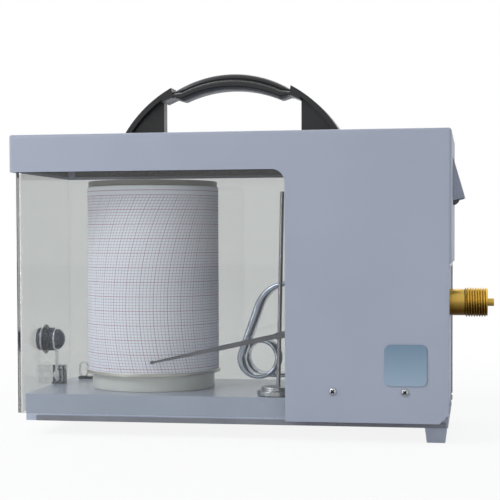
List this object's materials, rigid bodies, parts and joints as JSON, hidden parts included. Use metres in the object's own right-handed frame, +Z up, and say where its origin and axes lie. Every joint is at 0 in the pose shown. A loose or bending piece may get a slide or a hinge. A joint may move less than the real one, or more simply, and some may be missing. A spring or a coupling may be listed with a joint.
{
  "type": "pressure chart recorder",
  "caption": "Case with a clear wrap-round window that tilts open over a clock-driven chart drum, a coiled Bourdon tube and its pen; a threaded pressure connector on the side.",
  "frame": {"origin": "middle of the box that bounds the part, on the plane of the feet's soles", "axes": "+X from the drum towards the pressure connector, +Y from the window side to the back, +Z up"},
  "size_m": [0.3382, 0.1358, 0.2578],
  "materials": {
    "hood_enamel": "satin powder coat",
    "base_enamel": "satin powder coat",
    "foot_plastic": "moulded grey plastic",
    "clear_acrylic": "polished clear acrylic",
    "black_plastic": "moulded black plastic",
    "black_rubber": "matt rubber",
    "grey_rubber": "grey rubber",
    "lock_black": "black zinc",
    "bright_chrome": "polished plating",
    "zinc_steel": "zinc-plated",
    "dark_steel": "blackened",
    "tube_steel": "bright drawn steel",
    "brass": "turned brass",
    "copper": "drawn copper",
    "badge_enamel": "satin plate",
    "ivory_plastic": "moulded ivory plastic",
    "drum_metal": "spun aluminium",
    "olive_cap": "dark enamel",
    "chart": "printed paper",
    "arm_alloy": "grey anodised",
    "cell_wrap": "wrapped dry cell"
  },
  "bodies": {
    "base": {"base_tray": "base_enamel", "edge_strip": "grey_rubber", "side_plate": "hood_enamel", "side_screws": "zinc_steel", "feet": "foot_plastic", "foot_screws": "zinc_steel", "hinge_base_leaf": "zinc_steel", "hinge_pin": "zinc_steel", "lock_keeper": "zinc_steel", "keeper_pin": "zinc_steel", "clip_base": "black_plastic", "nib_clip": "ivory_plastic", "connector": "brass", "connector_locknut": "brass", "supply_pipe": "copper", "socket_block": "brass", "bourdon_tube": "tube_steel", "tip_clip": "dark_steel", "movement_bracket": "zinc_steel", "shaft_bushes": "brass", "floor_screws": "zinc_steel", "drum_seat": "ivory_plastic", "drum_spindle": "zinc_steel", "fixed_gear": "brass", "spindle_nut": "zinc_steel"},
    "hood": {"hood_shell": "hood_enamel", "window_panes": "clear_acrylic", "window_tape": "black_plastic", "handle": "black_plastic", "handle_screws": "zinc_steel", "badge_plate": "badge_enamel", "stop_angles": "zinc_steel", "panel_screws": "zinc_steel", "panel_nuts": "zinc_steel", "side_cowl": "hood_enamel", "cowl_grommet": "black_rubber", "lock_barrel": "lock_black", "lock_nut": "lock_black", "hinge_hood_leaf": "zinc_steel"},
    "lock": {"lock_knob": "lock_black", "lock_ring": "bright_chrome", "lock_dome": "lock_black", "lock_cam": "zinc_steel"},
    "drum": {"drum_shell": "drum_metal", "drum_cap": "olive_cap", "chart_paper": "chart", "chart_clip": "zinc_steel", "clock_case": "black_plastic", "battery": "cell_wrap"},
    "pinion": {"clock_pinion": "brass"},
    "pen": {"pen_shaft": "zinc_steel", "gate_fork": "brass", "crank": "brass"},
    "arm": {"gate_block": "brass", "arm_holder": "dark_steel", "pen_arm": "arm_alloy", "pen_nib": "dark_steel"},
    "link": {"drive_link": "zinc_steel"},
    "lifter": {"lifter_disc": "dark_steel", "lifter_rod": "zinc_steel"}
  },
  "joints": [
    {"name": "hood_open", "type": "hinge", "parent": "base", "child": "hood", "pos_m": [0.1376, 0, 0.119], "axis": [0, 1, 0], "range_deg": [0, 100]},
    {"name": "lock_turn", "type": "hinge", "parent": "hood", "child": "lock", "pos_m": [-0.1597, 0, 0.0637], "axis": [1, 0, 0], "range_deg": [-74, 16]},
    {"name": "drum_spin", "type": "hinge", "parent": "base", "child": "drum", "pos_m": [-0.0793, 0.005, 0.0742], "axis": [0, 0, 1], "continuous": true},
    {"name": "pinion_spin", "type": "hinge", "parent": "drum", "child": "pinion", "pos_m": [-0.0552, 0.005, 0.0382], "axis": [0, 0, 1], "continuous": true},
    {"name": "pen_swing", "type": "hinge", "parent": "base", "child": "pen", "pos_m": [0.1065, -0.026, 0.0897], "axis": [0, 1, 0], "range_deg": [-1.5, 38], "stiffness_Nm_per_rad": 1},
    {"name": "pen_gate", "type": "hinge", "parent": "pen", "child": "arm", "pos_m": [0.09771, -0.04788, 0.08777], "axis": [-0.2147, 0, 0.9767], "range_deg": [0, 2.45]},
    {"name": "link_swing", "type": "hinge", "parent": "pen", "child": "link", "pos_m": [0.10407, -0.024, 0.07591], "axis": [0, 1, 0], "range_deg": [-38, 1.5]},
    {"name": "lifter_turn", "type": "hinge", "parent": "base", "child": "lifter", "pos_m": [0.0198, -0.044, 0.0312], "axis": [0, 0, -1], "range_deg": [0, 65]}
  ],
  "couplings": [
    {"joint": "pinion_spin", "follows": "drum_spin", "ratio": 3},
    {"joint": "link_swing", "follows": "pen_swing", "ratio": -1},
    {"joint": "pen_gate", "follows": "lifter_turn", "ratio": 0.036923}
  ]
}
